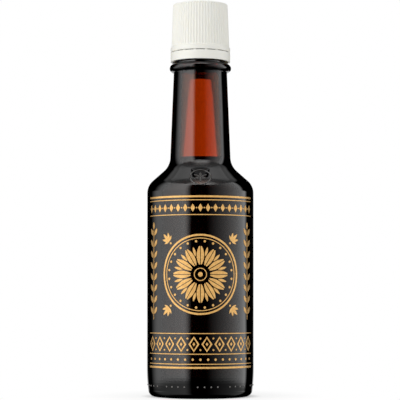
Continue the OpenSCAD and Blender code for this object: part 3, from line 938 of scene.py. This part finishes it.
@material
def liner_foam(graph):
    """Fine closed foam."""
    cells = graph.add("ShaderNodeTexVoronoi", {"Vector": graph.place(), "Scale": 3500.0})
    hue = graph.mix_colour(cells, (0.88, 0.88, 0.85, 1.0), (0.82, 0.82, 0.78, 1.0))
    return graph.principled(Base_Color=hue, Roughness=0.75, Normal=graph.bump(cells, 0.03 * MM, 0.6))


class BuildCap(Operator):
    """Build the ribbed cap with its liner, and the tamper band with its bridges"""

    bl_idname = "bottle.build_cap"
    bl_label = "Build Cap"

    def execute(self, context):
        c, finish = chosen(context, "closure", "finish")
        plastic = cap_plastic(finish)
        foot, top, flange, liner_top = cap_low.z, cap_high.z, liner_low.z, liner_high.z
        collar_r, collar_top, bevel, bead = cap_high.x, foot + c.collar_h, foot + 1.45 * MM, 0.5 * MM
        gate_r, gate_z, dish_r, dish_z = 0.7 * MM, top - 0.22 * MM, 8.4 * MM, top - 0.08 * MM
        lid = [(0.0, gate_z), (gate_r, gate_z), (gate_r + 0.3 * MM, dish_z), (dish_r, dish_z),
               (dish_r + 0.5 * MM, top), (c.top_r, top)]
        outer = soften(lid + [(c.skirt_r, collar_top)], 0.5 * MM, 8)[:-1]
        skirt_high, skirt_low = top - 0.6 * MM, collar_top + 0.3 * MM
        skirt = [(c.top_r + (c.skirt_r - c.top_r) * t, skirt_high + (skirt_low - skirt_high) * t)
                 for t in np.linspace(0, 1, 24)]
        collar = soften([skirt[-1], (c.skirt_r, collar_top), (collar_r, collar_top), (collar_r, foot),
                         (c.collar_in_r, foot), (c.collar_in_r, bevel),
                         (c.inner_r, bevel + c.collar_in_r - c.inner_r)], 0.25 * MM, 5)
        inside = [(c.inner_r, flange - bead), (c.inner_r - bead, flange - bead / 2), (c.inner_r, flange),
                  (c.inner_r, liner_top), (0.0, liner_top)]
        outline = outer + skirt + collar[1:] + inside
        outline = fine_steps(outline, 0.25 * MM, foot + 2.7 * MM, flange - 0.4 * MM)
        thread_low = glass_high.z - THREAD_DROP + 0.2 * MM - 0.75 * c.pitch

        def thread(angle, r, z):
            wall = np.abs(r - c.inner_r) < 0.01 * MM
            turned = np.mod(angle + math.pi / 2, math.tau)
            ridge = helix_rise(turned, z, thread_low, 1.75, c.pitch, 1.6 * MM, 0.7 * MM)
            return wall * ridge * (0.1 * MM - c.thread_depth)

        mesh = lathe("plain_cap", outline, 8 * c.rib_count, thread)
        mesh = run_tree(mesh, rib_tree(), count=float(c.rib_count), depth=c.rib_depth, run=0.7 * MM,
                        foot=collar_top + 0.1 * MM, top=top - 0.15 * MM, inner=c.top_r - 0.9 * MM,
                        material=plastic)
        mesh.shade_smooth()
        add_piece("cap", mesh, plastic, "cap", "cap_plastic", "screw_cap")
        disc = soften([(0.0, liner_top), (liner_high.x, liner_top), (liner_high.x, flange), (0.0, flange)],
                      0.2 * MM, 5)
        add_piece("liner_disc", lathe("disc", disc, 96), liner_foam(), "liner", "liner_foam", "cap_liner")
        add_piece("band", tamper_band(c, plastic), plastic, "band", "cap_plastic", "tamper_band")
        return {"FINISHED"}


def bridge(bm, height):
    """One thin bridge, standing on the origin."""
    bmesh.ops.create_cube(bm, size=1.0)
    bmesh.ops.scale(bm, vec=(1.0 * MM, 0.7 * MM, height), verts=bm.verts)
    bmesh.ops.translate(bm, vec=(0.0, 0.0, height / 2), verts=bm.verts)
    bmesh.ops.bevel(bm, geom=bm.edges[:], offset=0.08 * MM, segments=2, affect="EDGES")


def tamper_band(c, plastic):
    """A ring with a catching ledge inside, and thin bridges on top."""
    out_r, in_r, foot, top = band_high.x, c.collar_in_r, band_low.z, cap_low.z - 0.3 * MM
    ledge_r, sunk = 11.15 * MM, 0.15 * MM
    start = ((in_r + out_r) / 2, foot)
    section = [start, (out_r, foot), (out_r, top), (in_r, top), (in_r, top - 0.3 * MM),
               (ledge_r, top - 0.6 * MM), (ledge_r, top - 0.9 * MM), (in_r, top - 1.5 * MM),
               (in_r, foot), start]
    ring = lathe("ring", soften(section, 0.22 * MM, 5)[:-1], 240)
    bridges = run_tree(drawn(bridge, band_high.z - top + sunk), belt_tree(), count=c.bridge_count, group=1,
                       pause=0, start=0.5, step=math.tau / c.bridge_count, radius=out_r - 0.5 * MM,
                       height=top - sunk, material=plastic)

    def join(bm):
        bm.from_mesh(ring)
        bm.from_mesh(bridges)

    joined = drawn(join)
    joined.shade_smooth()
    return joined


class BuildPlug(Operator):
    """Build the shaker plug with its spout, dash hole and air hole"""

    bl_idname = "bottle.build_plug"
    bl_label = "Build Plug"

    def execute(self, context):
        c, finish = chosen(context, "closure", "finish")
        rim, top, foot, flange_r = glass_high.z, plug_high.z, plug_low.z, plug_high.x
        inner, floor, spout_top = c.plug_r - c.plug_wall, top - 4 * MM, top - 0.1 * MM
        under, bite, rib_h, air_r = floor - 1 * MM, 0.15 * MM, 0.5 * MM, 0.5 * MM
        ribs = []
        for z in (rim - 5.2 * MM, rim - 2.6 * MM):
            ribs += [(c.plug_r, z - rib_h), (c.plug_r + bite, z), (c.plug_r, z + rib_h)]
        corners = ([(c.dash_r, under), (inner, under), (inner, foot), (c.plug_r - 0.3 * MM, foot),
                    (c.plug_r, foot + 0.6 * MM)] + ribs
                   + [(c.plug_r, rim), (flange_r, rim), (flange_r, top), (inner, top), (inner, floor),
                      (c.spout_r, floor), (c.spout_r, spout_top), (c.dash_r, spout_top)])
        start = [(c.dash_r, (under + top) / 2)]
        body = new_object("body", lathe("body", soften(start + corners + start, 0.2 * MM)[:-1], 128))

        def drill(bm):
            bmesh.ops.create_cone(bm, cap_ends=True, segments=32, radius1=air_r, radius2=air_r,
                                  depth=4 * MM)
            bmesh.ops.translate(bm, vec=((c.spout_r + inner) / 2, 0.0, floor), verts=bm.verts)

        cutter = new_object("cutter", drawn(drill))
        cut = body.modifiers.new("air_hole", "BOOLEAN")
        cut.object, cut.operation, cut.solver = cutter, "DIFFERENCE", "EXACT"
        made = applied(body)
        bpy.data.objects.remove(cutter)
        add_piece("plug", made, plug_plastic(finish), "bottle", "plug_plastic", "dasher_plug")
        return {"FINISHED"}


# Studio

def background_seen(graph):
    """1 for rays that should meet the white background: straight, mirrored or through glass."""
    camera, glossy, through = (graph.add("ShaderNodeLightPath", out=name)
                               for name in ("Is Camera Ray", "Is Glossy Ray", "Is Transmission Ray"))
    return (camera + glossy + through).math("MINIMUM", 1.0)


@material
def floor_paper(graph, reach):
    """White paper that takes the bottle's shadow and runs out into the white background."""
    away = graph.add("ShaderNodeVectorMath", {0: graph.place()}, "Value", operation="LENGTH")
    paper = graph.add("ShaderNodeBsdfDiffuse", {"Color": (0.95, 0.95, 0.95, 1.0)})
    white = graph.add("ShaderNodeEmission", {"Strength": 1.0})
    near, middle = away.step(0.37 * reach, 0.45 * reach), away.step(0.42 * reach, 0.95 * reach)
    far = (0.4 + 0.4 * near + 0.2 * middle) * background_seen(graph)
    return graph.add("ShaderNodeMixShader", {0: far, 1: paper, 2: white})


def turn_of(x, y):
    """How far a point of the surround is from the front, in degrees, to the right."""
    return x.math("ARCTAN2", y * -1.0) * (180 / math.pi)


def front_part(turn):
    """1 above the front of the bottle, falling to 0 at the sides."""
    return 1.0 - (turn - 5.0).math("ABSOLUTE").step(12.0, 50.0)


@material
def softbox_wall(graph, s):
    """The studio's surround: two softboxes that narrow from the shoulder up, black cards between them, a
    paler zone above, and a light panel behind that narrows upwards too."""
    # Degrees from the front where each softbox starts and ends, and where the black behind starts
    left_start, left_end = (18.0, 36.0), (98.0, 130.0)
    right_start, right_end, black_start = 12.0, (106.0, 118.0), (100.0, 118.0)
    x, y, z = graph.xyz()
    turn = turn_of(x, y)
    left = turn * -1.0
    narrower = 12.0 * z.step(0.13, 0.17)
    fading = s.left_light * (1.25 - (left + narrower) / 150.0)
    left_box = left.step(*left_start) * (1.0 - (left + narrower).step(*left_end)) * fading
    ramp = ((turn - right_start) / (100.0 - right_start)).math("MAXIMUM", 0.0).math("POWER", 1.4)
    right_box = ramp * s.right_light * (1.0 - (turn + narrower).step(*right_end))
    above = z.step(s.box_top, s.box_top + 0.12)
    below = z.step(-0.8, -0.3) * (0.25 + 0.75 * z.step(-0.125, -0.06))
    boxes = (left_box * (1.0 + 0.018 * narrower) + right_box) * (1.0 - above) * below
    black = turn.math("ABSOLUTE").step(*black_start)
    upper = ((1.0 - black) * above + black * z.step(0.6, 0.72)) * (0.7 * s.top_light)
    half = s.back_w - 0.67 * (z - 0.16)
    behind = y.math("GREATER_THAN", 0.0) * (1.0 - (x.math("ABSOLUTE") - half).step(-0.02, 0.01))
    panel = behind * z.step(-0.1, 0.0) * s.back_light * (0.62 + 0.18 * x.step(-0.06, 0.06))
    brow = front_part(turn) * z.step(0.5, 0.6) * s.front_light
    return graph.add("ShaderNodeEmission", {"Strength": boxes + upper + panel + brow})


@material
def overhead_panel(graph, s):
    """A round panel above, brighter at the back, and at the front's edge a part of the light there."""
    x, y = graph.xyz()[:2]
    edge = (x * x + y * y).math("SQRT").step(0.3 * s.tent_r, 0.85 * s.tent_r)
    plain = s.top_light * (1.0 + 0.7 * y.step(0.0, 0.12)) * (1.0 - 0.3 * edge)
    strength = plain + front_part(turn_of(x, y)) * edge * (0.4 * s.front_light)
    return graph.add("ShaderNodeEmission", {"Strength": strength})


def reflected_only(card):
    """A card that the glass mirrors and lets through, but that lights nothing by itself."""
    card.visible_camera = card.visible_diffuse = card.visible_shadow = False


def stage_mesh(name, points, faces, finish):
    mesh = new_mesh(name, points, faces)
    mesh.materials.append(finish)
    return new_object(name, mesh)


def round_points(radius, z, count=96):
    return [(radius * math.cos(a), radius * math.sin(a), z) for a in np.arange(count) * math.tau / count]


class BuildStudio(Operator):
    """Build the floor, the white background, the softboxes, the lamp and the camera"""

    bl_idname = "bottle.build_studio"
    bl_label = "Build Studio"

    def execute(self, context):
        scene, s = context.scene, context.scene.bottle_studio
        scene.view_settings.view_transform = "Standard"
        world = bpy.data.worlds.new("studio")
        world.use_nodes = True
        world.node_tree.nodes.clear()
        graph = Graph(world.node_tree)
        light = s.sky + background_seen(graph) * (1.0 - s.sky)
        sky = graph.add("ShaderNodeBackground", {"Color": (1.0, 1.0, 1.0, 1.0), "Strength": light})
        graph.add("ShaderNodeOutputWorld", {"Surface": sky})
        scene.world = world

        disc = round_points(s.floor_r, 0.0)
        floor = stage_mesh("floor", disc, [tuple(range(len(disc)))], floor_paper(s.floor_r))
        floor.visible_glossy = False

        low, high = round_points(s.tent_r, -4 * s.tent_r), round_points(s.tent_r, s.tent_h)
        count = len(low)
        sides = [(i, (i + 1) % count, count + (i + 1) % count, count + i) for i in range(count)]
        sides.append(tuple(range(count)))
        reflected_only(stage_mesh("surround", low + high, sides, softbox_wall(s)))
        reflected_only(stage_mesh("overhead", high, [tuple(range(count))], overhead_panel(s)))

        shape = bpy.data.lights.new("side_lamp", "AREA")
        shape.shape, shape.size, shape.energy = "DISK", 0.6, s.side_lamp
        lamp = new_object("side_lamp", shape)
        lamp.location = (-0.75, -0.5, 0.6)
        lamp.rotation_euler = (-lamp.location).to_track_quat("-Z", "Y").to_euler()
        lamp.visible_glossy = lamp.visible_transmission = False

        distance, eye_height, tilt = 694 * MM, 41.9 * MM, math.radians(3.533)
        lens = bpy.data.cameras.new("camera")
        lens.sensor_width = 36.0
        lens.lens = 143.98
        lens.clip_start, lens.clip_end = 0.01, 20.0
        camera = new_object("camera", lens)
        camera.location = (-0.17 * MM, -distance, eye_height)
        camera.rotation_euler = (math.pi / 2 + tilt, 0.0, 0.0)
        scene.camera = camera
        return {"FINISHED"}


class BottlePanel(Panel):
    """Lists the bottle's sizes, colours and build steps"""

    bl_idname = "VIEW3D_PT_bottle"
    bl_label = "Bottle"
    bl_space_type = "VIEW_3D"
    bl_region_type = "UI"
    bl_category = "Bottle"

    def draw(self, context):
        for group in GROUPS:
            box = self.layout.box()
            box.label(text=group.removeprefix("bottle_").title())
            values = getattr(context.scene, group)
            for name in values.__annotations__:
                box.prop(values, name)
        for operator in OPERATORS:
            self.layout.operator(operator.bl_idname)


GROUPS = {"bottle_glass": GlassSizes, "bottle_closure": ClosureSizes, "bottle_print": PrintSizes,
          "bottle_finish": Finishes, "bottle_studio": StudioSizes}
OPERATORS = (BuildStudio, BuildGlass, BuildLiquid, BuildPrint, BuildCap, BuildPlug)


def register():
    for cls in (*GROUPS.values(), *OPERATORS, BottlePanel):
        bpy.utils.register_class(cls)
    for name, cls in GROUPS.items():
        setattr(bpy.types.Scene, name, PointerProperty(type=cls))


def unregister():
    for name in GROUPS:
        delattr(bpy.types.Scene, name)
    for cls in (BottlePanel, *reversed(OPERATORS), *reversed(list(GROUPS.values()))):
        bpy.utils.unregister_class(cls)


def main():
    register()
    for operator in OPERATORS:
        group, name = operator.bl_idname.split(".")
        getattr(getattr(bpy.ops, group), name)()


if __name__ == "__main__":
    main()
